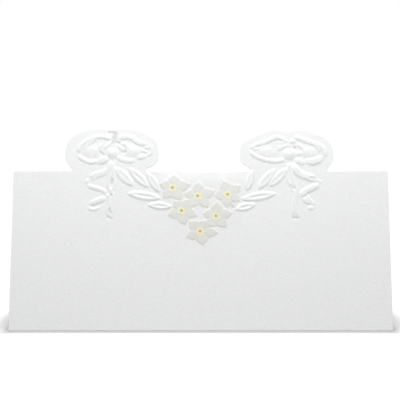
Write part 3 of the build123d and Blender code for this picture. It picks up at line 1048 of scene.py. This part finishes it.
class CardBlank:
    """The flat die-cut blank as a closed mesh: outer face, inner face and cut edges."""

    # Points along the cut lines and along the rows of the fold
    FOLD_ROWS = 9
    PANEL_SIDE_POINTS = 12
    LEAST_ROW_POINTS = 4
    EDGE_STEP = 0.3 * MM
    BORDER_STEP = 4.0 * MM
    ROW_STEP = 3.0 * MM
    CLEAR_STEPS = 3
    # Samples of the ornament
    BAND_STEP = 0.3 * MM
    LEAF_SAMPLES = 15
    PETAL_TURN_DEG = 6.0
    # Steps between points on the ornament, and the rings round it in which they double
    OUTER_STEP = 0.135 * MM
    INNER_STEP = 0.2 * MM
    FINE_REACH = 0.25 * MM
    RING_STEPS = 2.5
    COARSEST_STEP = 4.0 * MM
    # The swelling between the bows is meshed as if it lay this near to the ornament
    SWELL_GAP = 0.9 * MM
    SWELL_RUNS = 1.3
    # Free room round a point, in steps, from its neighbours and from the border
    ROOM_STEPS = 0.6
    BORDER_ROOM_STEPS = 0.5
    # What the triangulation is asked for: triangles within the border, and near points as one
    WITHIN_BORDER = 1
    SAME_POINT = 1e-8

    def __init__(self) -> None:
        """Works out the cut lines and the rows of the fold."""
        self.fold = [SHEET.fold_length * i / (self.FOLD_ROWS - 1) for i in range(self.FOLD_ROWS)]
        beyond = self.fold[1] - self.fold[0]
        self.rows = [-beyond, *self.fold, self.fold[-1] + beyond]
        self.border = self._border()
        self.slits = [self._slit(bow) for bow in BOWS]
        self.tabs = [self._tab_edge(bow, 0.0) for bow in BOWS]

    def _border(self) -> CutLine:
        """Outline of the blank, counter-clockwise, with a point where each row of the fold ends."""
        right, top, bottom = SHEET.width / 2, SHEET.back_edge, -SHEET.panel_height
        below = np.linspace(bottom, self.rows[0], self.PANEL_SIDE_POINTS)[:-1]
        above = np.linspace(self.rows[-1], top, self.PANEL_SIDE_POINTS)[1:]
        side = [*below, *self.rows, *above]
        across = np.linspace(-right, right, round(2 * right / self.BORDER_STEP))
        loop = [(x, bottom) for x in across[:-1]] + [(right, y) for y in side[:-1]]
        loop += [(x, top) for x in across[:0:-1]] + [(-right, y) for y in side[:0:-1]]
        return CutLine([(float(x), float(y)) for x, y in loop], [False] * len(loop))

    def _tab_edge(self, bow: BowPlan, grow: float) -> list[Place]:
        """Edge of a tab from the crease up one side, over the top and down to the crease."""
        left, right = bow.neck_sides()
        top = self.fold[-1]
        crown = curve_through([(left, top), *bow.scaled(bow.tab), (right, top)], self.EDGE_STEP)
        edge = [(left, y) for y in self.fold[:-1]] + crown + [(right, y) for y in self.fold[-2::-1]]
        if not grow:
            return edge
        grown = moved_aside(edge, grow)
        grown[0] = (left - grow, 0.0)
        grown[-1] = (right + grow, 0.0)
        return grown

    def _slit(self, bow: BowPlan) -> CutLine:
        """The narrow gap round a tab, clockwise as seen from the sheet that surrounds it."""
        tab = self._tab_edge(bow, 0.0)
        grown = self._tab_edge(bow, SHEET.cut_gap)
        return CutLine(tab + grown[::-1], [True] * len(tab) + [False] * len(grown))

    @classmethod
    def _ornament_samples(cls) -> tuple[np.ndarray, np.ndarray]:
        """Places all over the ornament, and how far the ornament reaches round each."""
        places: list[Place] = []
        reach: list[float] = []
        for bow in BOWS:
            sunk = [(CREASE.half_width, bow.scaled(crease)) for crease in bow.creases]
            raised = [(band.half_width, line) for band, line in bow.ribbons()]
            for half_width, line in raised + sunk:
                run = curve_through(line, cls.BAND_STEP)
                places += run
                reach += [half_width] * len(run)
            places.append(bow.knot)
            reach.append(KNOT.half_width)
        for leaf in LEAVES:
            stalk, tip = leaf.ends()
            for t in np.linspace(0, 1, cls.LEAF_SAMPLES):
                places.append(tuple(stalk + t * (tip - stalk)))
                reach.append(leaf.half_width * (4 * t * (1 - t)) ** LEAF.outline_power)
        for flower in FLOWERS:
            turn = np.radians(np.arange(0.0, 360.0, cls.PETAL_TURN_DEG))
            way = np.stack([np.cos(turn), np.sin(turn)], axis=1)
            places.append(tuple(flower.centre()))
            places += [tuple(place) for place in flower.centre() + flower.outline(turn)[:, None] * way]
            reach += [FLOWER.bead_radius] + [FLOWER.edge_reach] * len(turn)
        return np.array(places), np.array(reach)

    def _clearance(self, points: np.ndarray, past: float, limit: float) -> np.ndarray:
        """Distance of points from the ornament, or from a cut line where that is less.

        Args:
            points: places on the blank, in rising order along the fold.
            past: how far the finest mesh reaches beyond a cut line and the fold.
            limit: distance past which no answer is needed.

        Returns:
            The distances, endless where they pass the limit.
        """
        places, reach = self._ornament_samples()
        cut = np.array([place for slit in self.slits for place in slit.loop[::2]])
        rows = np.array([(x, self.fold[-1] / 2) for x in np.arange(-SHEET.width, SHEET.width, past)])
        places = np.vstack([places, cut, rows])
        reach = np.concatenate([reach, np.full(len(cut), -past), np.full(len(rows), -past)])
        nearest = np.full(len(points), np.inf)
        for place, radius in zip(places, reach):
            span = (place[0] - radius - limit, place[0] + radius + limit)
            low, high = np.searchsorted(points[:, 0], span)
            close_by = points[low:high] - place
            gap = np.hypot(close_by[:, 0], close_by[:, 1]) - radius
            np.minimum(nearest[low:high], gap, out=nearest[low:high])
        return nearest

    def _lattice(self, step: float, reach: float) -> np.ndarray:
        """Triangular lattice over the blank, or over the ornament and a reach round it."""
        low = np.array([-SHEET.width / 2, -SHEET.panel_height])
        high = np.array([SHEET.width / 2, SHEET.back_edge])
        places, radii = self._ornament_samples()
        low = np.maximum(low, (places - radii[:, None]).min(axis=0) - reach)
        high = np.minimum(high, (places + radii[:, None]).max(axis=0) + reach)
        x = np.arange(low[0], high[0], step)
        y = np.arange(low[1], high[1], step * math.sqrt(0.75))
        grid_x, grid_y = np.meshgrid(x, y)
        grid_x[1::2] += step / 2
        return np.stack([grid_x.ravel(), grid_y.ravel()], axis=1)

    def _on_tab(self, points: np.ndarray) -> np.ndarray:
        """Which points lie on a tab."""
        found = np.zeros(len(points), bool)
        above = points[:, 1] > 0
        for tab in self.tabs:
            found[above] |= inside(points[above], tab)
        return found

    def _filling(self, step: float, taken: KDTree) -> list[Place]:
        """Points inside the blank, wider apart the further they lie from the ornament.

        Args:
            step: distance between points on the ornament.
            taken: points that the blank has already.

        Returns:
            The new points.
        """
        found: list[Place] = []
        near, far = -math.inf, self.FINE_REACH
        while step < 2 * self.COARSEST_STEP:
            lattice = self._lattice(step, far)
            low, high = self.rows[0] - step / 2, self.rows[-1] + step / 2
            off_fold = (lattice[:, 1] < low) | (lattice[:, 1] > high)
            lattice = lattice[off_fold | self._on_tab(lattice)]
            lattice = lattice[lattice[:, 0].argsort(kind="stable")]
            gap = self._clearance(lattice, 2 * self.OUTER_STEP, far)
            below = (lattice[:, 1] < 0) & (lattice[:, 1] > -self.SWELL_RUNS * PUCKER.run)
            swollen = below & (np.abs(lattice[:, 0]) < PUCKER.half_width)
            gap[swollen] = np.minimum(gap[swollen], self.SWELL_GAP)
            for x, y in lattice[(gap > near) & (gap <= far)]:
                room = taken.find((x, y, 0.0))[2]
                edge = min(SHEET.width / 2 - abs(x), y + SHEET.panel_height, SHEET.back_edge - y)
                if room > self.ROOM_STEPS * step and edge > self.BORDER_ROOM_STEPS * step:
                    found.append((float(x), float(y)))
            near, far, step = far, far + self.RING_STEPS * step, 2 * step
            if 2 * step >= self.COARSEST_STEP:
                far = math.inf
        return found

    def _fold_runs(self, edge: np.ndarray) -> list[list[Place]]:
        """Straight runs of points along the rows of the fold, clear of the tabs.

        Args:
            edge: places along the cut edges, where the runs on the fold end.

        Returns:
            The places of each run, from left to right.
        """
        inset = SHEET.edge_round
        clear = self.CLEAR_STEPS * self.EDGE_STEP
        sides = [-SHEET.width / 2 + inset]
        for bow in BOWS:
            left, right = bow.neck_sides()
            sides += [left - SHEET.cut_gap - inset, right + SHEET.cut_gap + inset]
        sides.append(SHEET.width / 2 - inset)
        runs = []
        for height in self.rows:
            on_fold = height in self.fold
            for number, (start, end) in enumerate(zip(sides[::2], sides[1::2])):
                count = max(self.LEAST_ROW_POINTS, round((end - start) / self.ROW_STEP))
                run = [(float(x), height) for x in np.linspace(start, end, count)]
                for place, inward, outermost in ((0, clear, 0), (-1, -clear, len(BOWS))):
                    if on_fold or number == outermost:
                        away = np.hypot(*(edge - run[place]).T)
                        run[place] = tuple(edge[away.argmin()])
                    else:
                        run[place] = (run[place][0] + inward, height)
                runs.append(run)
        return runs

    def _layer(self, step: float) -> Layer:
        """One face of the blank as triangles.

        Args:
            step: distance between points on the ornament.

        Returns:
            The face, with its points in the flat sheet's plane.
        """
        cut_lines = [self.border, *self.slits]
        insets = [SHEET.edge_round] + [-SHEET.edge_round] * len(self.slits)
        loops = [moved_aside(line.loop, inset) for line, inset in zip(cut_lines, insets)]
        points = [place for loop in loops for place in loop]
        runs = self._fold_runs(np.array(points))
        closed = []
        start = 0
        for loop in loops:
            closed.append(list(range(start, start + len(loop))))
            start += len(loop)
        edges = [(a, b) for ring in closed[1:] for a, b in zip(ring, [*ring[1:], ring[0]])]
        for run in runs:
            edges += [(i, i + 1) for i in range(len(points), len(points) + len(run) - 1)]
            points += run
        taken = KDTree(len(points))
        for number, (x, y) in enumerate(points):
            taken.insert((x, y, 0.0), number)
        taken.balance()
        points += self._filling(step, taken)
        bends = 1.0 - self._on_tab(np.array(points))
        for line, ring in zip(cut_lines, closed):
            bends[ring] = [not tab for tab in line.on_tab]
        corners = [Vector(place) for place in points]
        found = delaunay_2d_cdt(corners, edges, [closed[0]], self.WITHIN_BORDER, self.SAME_POINT)
        places = np.array([tuple(place) for place in found[0]])
        new_of = {old: new for new, olds in enumerate(found[3]) for old in olds}
        triangles = np.array(found[2])
        middles = places[triangles].mean(axis=1)
        in_slit = np.zeros(len(triangles), bool)
        for loop in loops[1:]:
            in_slit |= inside(middles, loop)
        new_bends = np.ones(len(places))
        for old, new in new_of.items():
            new_bends[new] = min(new_bends[new], bends[old])
        rings = [[new_of[old] for old in ring] for ring in closed]
        kept = [tuple(int(i) for i in three) for three in triangles[~in_slit]]
        return Layer(places, kept, rings, new_bends)

    def build(self) -> bpy.types.Object:
        """The flat blank as a closed mesh that carries its print map and its bending share."""
        outer, inner = self._layer(self.OUTER_STEP), self._layer(self.INNER_STEP)
        points = [(x, y, 0.0) for x, y in outer.places]
        printed = [1.0] * len(points)
        inner_start = len(points)
        points += [(x, y, -SHEET.thickness) for x, y in inner.places]
        bends = [*outer.bends, *inner.bends]
        faces = list(outer.faces)
        faces += [tuple(inner_start + i for i in reversed(three)) for three in inner.faces]
        sheet_faces = len(faces)
        deep = SHEET.thickness - SHEET.edge_round
        for line, top_ring, low_ring in zip([self.border, *self.slits], outer.rings, inner.rings):
            rings = [top_ring]
            for depth in (SHEET.edge_round, deep):
                start = len(points)
                points += [(x, y, -depth) for x, y in line.loop]
                bends += [float(not tab) for tab in line.on_tab]
                rings.append(list(range(start, len(points))))
            rings.append([inner_start + i for i in low_ring])
            for upper, lower in zip(rings, rings[1:]):
                for i, low in enumerate(lower):
                    j = (i + 1) % len(lower)
                    faces.append((upper[i], low, lower[j], upper[j]))
        printed += [0.0] * (len(points) - len(printed))
        mesh = bpy.data.meshes.new("card_blank")
        mesh.from_pydata(points, [], faces)
        self._finish(mesh, sheet_faces, bends, printed)
        return new_object("card_blank", mesh)

    @staticmethod
    def _print_numbers(places: np.ndarray) -> dict[str, np.ndarray]:
        """How far places lie inside a petal's edge and from a bead's middle, and the ink's share."""
        edge = np.full(len(places), -FLOWER.edge_limit)
        bead = np.full(len(places), FLOWER.bead_limit_share * FLOWER.bead_radius)
        nearest = np.full(len(places), np.inf)
        ink = np.zeros(len(places))
        for flower in FLOWERS:
            away = places - flower.centre()
            reach = np.hypot(away[:, 0], away[:, 1])
            within = flower.outline(np.arctan2(away[:, 1], away[:, 0])) - reach
            edge = np.maximum(edge, np.minimum(within, FLOWER.edge_limit))
            bead = np.minimum(bead, reach)
            ink = np.where(reach < nearest, flower.ink, ink)
            nearest = np.minimum(nearest, reach)
        return {"petal_edge": edge, "bead_gap": bead, "petal_ink": ink}

    def _finish(
        self, mesh: bpy.types.Mesh, sheet_faces: int, bends: list[float], printed: list[float]
    ) -> None:
        """Turns the faces outwards, marks the cut edges and stores what later steps read."""
        places = np.zeros(len(mesh.vertices) * 3, dtype=np.float32)
        mesh.vertices.foreach_get("co", places)
        numbers = {"bends": bends, "printed_side": printed}
        store_numbers(mesh, numbers | self._print_numbers(places.reshape(-1, 3)[:, :2]))
        work = bmesh.new()
        work.from_mesh(mesh)
        work.faces.ensure_lookup_table()
        for edge in work.edges:
            kinds = {face.index < sheet_faces for face in edge.link_faces}
            edge.smooth = len(kinds) == 1
        bmesh.ops.recalc_face_normals(work, faces=work.faces)
        loose = sum(not edge.is_manifold for edge in work.edges)
        if loose:
            LOG.warning("the blank has %d open edges", loose)
        work.to_mesh(mesh)
        work.free()
        mesh.shade_smooth()
        corner = np.zeros(len(mesh.loops), dtype=np.int32)
        mesh.loops.foreach_get("vertex_index", corner)
        flat = places.reshape(-1, 3)[corner]
        across = flat[:, 0] / SHEET.width + 0.5
        up = (flat[:, 1] + SHEET.panel_height) / SHEET.flat_length
        layer = mesh.uv_layers.new(name=PRINT_MAP)
        layer.uv.foreach_set("vector", np.stack([across, up], axis=1).ravel())


class PressAndFold:
    """The press and the folding: raises the blank over the die, then bends it into a tent."""

    RAY_START = 5.0 * MM
    SOFTENING = 2

    def __init__(self) -> None:
        """Lays out the tree."""
        self.board = GeometryBoard(
            "press_and_fold",
            {
                "Die": ("NodeSocketObject", None),
                "Creases": ("NodeSocketObject", None),
                "Crease Half Width": ("NodeSocketFloat", CREASE.half_width),
                "Crease Depth": ("NodeSocketFloat", CREASE.depth),
                "Pucker Rise": ("NodeSocketFloat", PUCKER.rise),
                "Softening": ("NodeSocketInt", self.SOFTENING),
                "Lean": ("NodeSocketFloat", SHEET.lean),
                "Outer Radius": ("NodeSocketFloat", SHEET.outer_radius),
                "Middle Radius": ("NodeSocketFloat", SHEET.middle_radius),
                "Fold Length": ("NodeSocketFloat", SHEET.fold_length),
                "Axis Height": ("NodeSocketFloat", SHEET.axis_height),
                "Material": ("NodeSocketMaterial", None),
            },
        )
        b = self.board
        x, y, z = b.place()
        die = b.node("GeometryNodeObjectInfo", {}, {"Object": b.given("Die")}, "Geometry")
        ray = {
            "Target Geometry": die,
            "Source Position": b.vector(x, y, self.RAY_START),
            "Ray Direction": (0.0, 0.0, -1.0),
            "Ray Length": 2 * self.RAY_START,
        }
        hit = b.node("GeometryNodeRaycast", {}, ray, "Hit Position")
        is_hit = Link(b, b.socket(hit.socket.node.outputs, "Is Hit"))
        pressed = self._pressed(x, y)
        raised = b.parts(hit)[2] * is_hit + self._pucker(x, y) - pressed * b.given("Crease Depth")
        raised = b.node(
            "GeometryNodeBlurAttribute", {}, {"Value": raised, "Iterations": b.given("Softening")}
        )
        into_fold = b.limited(y, 0.0, b.given("Fold Length")) * b.attribute("bends")
        turn = into_fold / b.given("Middle Radius") + b.given("Lean")
        up = y - into_fold
        out = z + raised + b.given("Outer Radius")
        sine, cosine = b.call("SINE", turn), b.call("COSINE", turn)
        # The crease share is stored so that the material can paint shade into the creases
        folded = b.moved(
            b.stored(b.given("Geometry"), "creased", pressed),
            x,
            up * sine - out * cosine,
            up * cosine + out * sine + b.given("Axis Height"),
        )
        b.close(folded, b.given("Material"))

    def _pressed(self, x: Link, y: Link) -> Link:
        """Share to which a place lies in a crease."""
        b = self.board
        lines = b.node("GeometryNodeObjectInfo", {}, {"Object": b.given("Creases")}, "Geometry")
        gap = b.node(
            "GeometryNodeProximity",
            {"target_element": "EDGES"},
            {"Geometry": lines, "Sample Position": b.vector(x, y, 0.0)},
            "Distance",
        )
        return 1 - b.smooth(gap / b.given("Crease Half Width"), 0.0, 1.0)

    def _pucker(self, x: Link, y: Link) -> Link:
        """How far the sheet swells between the bows, steepest right under the fold."""
        b = self.board
        down = b.limited(-y / PUCKER.run, 0.0, 1.0)
        fading = 1 - b.smooth(-y, PUCKER.run, PUCKER.run + PUCKER.fade)
        level = PUCKER.level_share * PUCKER.half_width
        beside = 1 - b.smooth(b.call("ABSOLUTE", x), level, PUCKER.half_width)
        return down * (2 - down) * fading * beside * b.given("Pucker Rise")

    def build(
        self, blank: bpy.types.Object, die: bpy.types.Object, material: bpy.types.Material
    ) -> bpy.types.Object:
        """Presses and folds the blank.

        Args:
            blank: the flat blank; it is used up.
            die: the embossing die; it is removed.
            material: the card's finish.

        Returns:
            The folded card.
        """
        creases = crease_lines()
        values = {"Die": die, "Creases": creases, "Material": material}
        card = self.board.baked(blank, values, "embossed_card")
        for tool in (die, creases):
            bpy.data.objects.remove(tool)
        return card


@dataclass(frozen=True)
class PearlCard:
    """Pearly card stock with pale grey petals and gold dots printed on its outer face, and painted shade
    darkening its creases.

    A span holds the two values between which a smooth step goes from 0 to 1. A blur is how far
    a printed edge fades to either side. Polish is taken off the roughness.
    """

    stock: Colour = (0.897, 0.909, 0.902)
    shade: Colour = (0.828, 0.839, 0.831)
    shade_span: Span = (0.3, 0.7)
    # Painted shade: the creases are darkened towards this colour by the share below
    crease: Colour = (0.50, 0.50, 0.49)
    crease_share: float = 0.42
    ink: Colour = (0.44, 0.42, 0.23)
    ink_blur: float = 0.06 * MM
    outline_share: float = 0.05
    outline_span: Span = (0.05 * MM, 0.3 * MM)
    foil: Colour = (0.94, 0.87, 0.60)
    foil_core: Colour = (0.60, 0.51, 0.24)
    foil_blurs: Span = (0.12 * MM, 0.08 * MM)
    core_blur: float = 0.1 * MM
    foil_polish: float = 0.18
    foil_metal: float = 0.1
    foil_smoothness: float = 0.7
    roughness: float = 0.48
    least_roughness: float = 0.1
    flake_polish: float = 0.12
    flake_scale: float = 2.2
    flake_span: Span = (0.35, 0.7)
    lustre: float = 0.25
    lustre_roughness: float = 0.35
    grain_size: float = 0.42 * MM
    grain_depth: float = 0.02 * MM
    face_gap: float = 10 * MM
    printed_span: Span = (0.5, 0.9)
    glow: float = 0.35
    glow_colour: Colour = (1.0, 1.0, 0.95)
    glow_reach: float = 0.25 * MM

    def build(self) -> bpy.types.Material:
        """The material."""
        material = bpy.data.materials.new("pearl_card")
        b = cleared_board(material)
        across, up, _ = b.parts(b.node("ShaderNodeUVMap", {"uv_map": PRINT_MAP}))
        x = (across - 0.5) * SHEET.width
        y = up * SHEET.flat_length - SHEET.panel_height
        side = self._stored(b, "printed_side")
        on_print = b.smooth(side, *self.printed_span)
        petals, foil, core = self._print(b)
        grain, flakes = self._grain(b, b.vector(x, y, side * self.face_gap))
        tone = b.mix_colour(b.smooth(grain, *self.shade_span), self.stock, self.shade)
        # Painted shade in the creases, where their shadow falls
        tone = b.mix_colour(self._stored(b, "creased") * self.crease_share, tone, self.crease)
        for share, colour in ((petals, self.ink), (foil, self.foil), (core, self.foil_core)):
            tone = b.mix_colour(share * on_print, tone, colour)
        gilt = b.limited(foil + core, 0, 1) * on_print
        height = grain * (1 - gilt * self.foil_smoothness)
        bump = {"Strength": 1.0, "Distance": self.grain_depth, "Height": height}
        roughness = flakes * -self.flake_polish + self.roughness - gilt * self.foil_polish
        shader = b.node(
            "ShaderNodeBsdfPrincipled",
            {"subsurface_method": "RANDOM_WALK"},
            {
                "Base Color": tone,
                "Roughness": b.limited(roughness, self.least_roughness, 1),
                "Metallic": gilt * self.foil_metal,
                "Coat Weight": flakes * self.lustre,
                "Coat Roughness": self.lustre_roughness,
                "Subsurface Weight": self.glow,
                "Subsurface Radius": self.glow_colour,
                "Subsurface Scale": self.glow_reach,
                "Normal": b.node("ShaderNodeBump", {}, bump),
            },
        )
        b.node("ShaderNodeOutputMaterial", {}, {"Surface": shader})
        return material

    @staticmethod
    def _stored(b: Board, name: str) -> Link:
        """A number that the sheet carries."""
        return b.node("ShaderNodeAttribute", {"attribute_name": name}, {}, "Fac")

    def _print(self, b: Board) -> tuple[Link, Link, Link]:
        """Shares of ink, of foil and of the foil's deeper middle over the sheet."""
        edge, bead = self._stored(b, "petal_edge"), self._stored(b, "bead_gap")
        inked = b.smooth(edge, -self.ink_blur, self.ink_blur)
        outline = inked * (1 - b.smooth(edge, *self.outline_span))
        petals = inked * self._stored(b, "petal_ink") + outline * self.outline_share
        within, beyond = self.foil_blurs
        foil = 1 - b.smooth(bead, FLOWER.bead_radius - within, FLOWER.bead_radius + beyond)
        middle = FLOWER.core_radius
        core = 1 - b.smooth(bead, middle - self.core_blur, middle + self.core_blur)
        return petals, foil, core

    def _grain(self, b: Board, flat: Link) -> tuple[Link, Link]:
        """Fibre grain of the stock and the flakes of its pearl coating."""
        size = 1.0 / self.grain_size
        fibres = {"Vector": flat, "Scale": size, "Detail": 4.0, "Roughness": 0.6}
        flakes = {"Vector": flat, "Scale": size * self.flake_scale, "Detail": 2.0}
        grain = b.node("ShaderNodeTexNoise", {}, fibres)
        return grain, b.smooth(b.node("ShaderNodeTexNoise", {}, flakes), *self.flake_span)


class Studio:
    """Pale floor with a painted shadow round the card, soft light from above and the camera."""

    # The camera looks down by the pitch; its lens and sensor are in millimetres
    CAMERA_PLACE = (-0.19 * MM, -499.06 * MM, 71.17 * MM)
    PITCH_DEG = 4.32
    LENS = 165.6
    SENSOR = 36.0
    CLIP_START = 10.0 * MM
    # A square lamp, its power in watts, and the room's light as a share of the white that is seen
    LAMP_SIZE = 200.0 * MM
    LAMP_PLACE = (0.0, -50.0 * MM, 320.0 * MM)
    LAMP_POWER = 1.06
    ROOM_LIGHT = 0.42
    ROOM_COLOUR = (1.0, 1.0, 1.0)
    FLOOR_SPAN = 12.0
    FLOOR_COLOUR = (0.28, 0.28, 0.28)
    # Light that the floor adds where it is seen, and how far from the card it reaches each step
    # The smaller steps close to the card paint a shadow round its foot
    LIFT_STEPS = (0.32, 0.75, 1.0)
    LIFT_REACHES = (2.5 * MM, 5.2 * MM, 120.0 * MM)
    # What it adds close beside the card's two ends, where the painted shadow is fainter
    END_LIFT = 0.22
    # Behind the card a distance counts for this share, so the painted shadow reaches further there
    SHADOW_SLANT = 0.35

    def build(self) -> None:
        """Everything round the card."""
        self._floor()
        self._room()
        self._lamp()
        self._camera()

    def _floor(self) -> None:
        """White floor that keeps the card's real shadow, adds a painted shadow round its foot and shows
        white further out.
        """
        half = self.FLOOR_SPAN / 2
        mesh = bpy.data.meshes.new("floor")
        corners = [(-half, -half, 0.0), (half, -half, 0.0), (half, half, 0.0), (-half, half, 0.0)]
        mesh.from_pydata(corners, [], [(0, 1, 2, 3)])
        floor = new_object("floor", mesh)
        material = bpy.data.materials.new("white_floor")
        b = cleared_board(material)
        matt = b.node("ShaderNodeBsdfDiffuse", {}, {"Color": (*self.FLOOR_COLOUR, 1.0)})
        x, y, _ = b.parts(b.node("ShaderNodeTexCoord", {}, {}, "Object"))
        aside = b.call("MAXIMUM", b.call("ABSOLUTE", x) - SHEET.width / 2, 0.0)
        before = b.call("MAXIMUM", -y - SHEET.foot, 0.0)
        behind = b.call("MAXIMUM", y - SHEET.foot, 0.0) * self.SHADOW_SLANT
        away = b.call("SQRT", aside * aside + before * before + behind * behind)
        least, middle, most = self.LIFT_STEPS
        close, clear, far = self.LIFT_REACHES
        # Painted shadow: less light is added near the card
        lift = b.smooth(away, close, clear) * (middle - least) + least
        lift = lift + b.smooth(away, clear, far) * (most - middle)
        at_end = b.smooth(aside, 0.0, close) * (1 - b.smooth(away, close, clear))
        lift = lift + at_end * self.END_LIFT
        seen = b.node("ShaderNodeEmission", {}, {"Strength": self._seen(b) * lift})
        both = b.node("ShaderNodeAddShader", {}, {0: matt, 1: seen})
        b.node("ShaderNodeOutputMaterial", {}, {"Surface": both})
        mesh.materials.append(material)

    @staticmethod
    def _seen(b: Board) -> Link:
        """1 for what the camera, a reflection or clear material shows, else 0."""
        rays = ("Is Camera Ray", "Is Glossy Ray", "Is Transmission Ray")
        camera, glossy, clear = (b.node("ShaderNodeLightPath", {}, {}, ray) for ray in rays)
        return b.limited(camera + glossy + clear, 0.0, 1.0)

    def _room(self) -> None:
        """Even light from all round, white where it is seen."""
        world = bpy.data.worlds.new("pale_room")
        bpy.context.scene.world = world
        b = cleared_board(world)
        seen = self._seen(b)
        light = {"Color": (*self.ROOM_COLOUR, 1.0), "Strength": seen + (1 - seen) * self.ROOM_LIGHT}
        b.node("ShaderNodeOutputWorld", {}, {"Surface": b.node("ShaderNodeBackground", {}, light)})

    def _lamp(self) -> None:
        """Soft box above and a little in front of the card."""
        lamp = bpy.data.lights.new("soft_box", "AREA")
        lamp.shape = "SQUARE"
        lamp.size = self.LAMP_SIZE
        lamp.energy = self.LAMP_POWER
        holder = new_object("soft_box", lamp)
        holder.location = self.LAMP_PLACE
        way = Vector((0.0, 0.0, SHEET.panel_height / 2)) - Vector(self.LAMP_PLACE)
        holder.rotation_euler = way.to_track_quat("-Z", "Y").to_euler()

    def _camera(self) -> None:
        """Camera at the height and distance of the photograph's."""
        data = bpy.data.cameras.new("camera")
        data.lens = self.LENS
        data.sensor_width = self.SENSOR
        data.clip_start = self.CLIP_START
        camera = new_object("camera", data)
        camera.location = self.CAMERA_PLACE
        camera.rotation_euler = (math.radians(90.0 - self.PITCH_DEG), 0.0, 0.0)
        bpy.context.scene.camera = camera


def main() -> None:
    """Builds the card and the room round it."""
    logging.basicConfig(level=logging.INFO, format="%(name)s: %(message)s")
    bpy.context.scene.view_settings.view_transform = "Standard"
    die = EmbossingDie().build()
    LOG.info("embossing die: %d faces", len(die.data.polygons))
    blank = CardBlank().build()
    LOG.info("card blank: %d faces", len(blank.data.polygons))
    card = PressAndFold().build(blank, die, PearlCard().build())
    LOG.info("%s: %d faces", card.name, len(card.data.polygons))
    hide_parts(CARD_NODE)
    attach(card, "root")
    Studio().build()


if __name__ == "__main__":
    main()
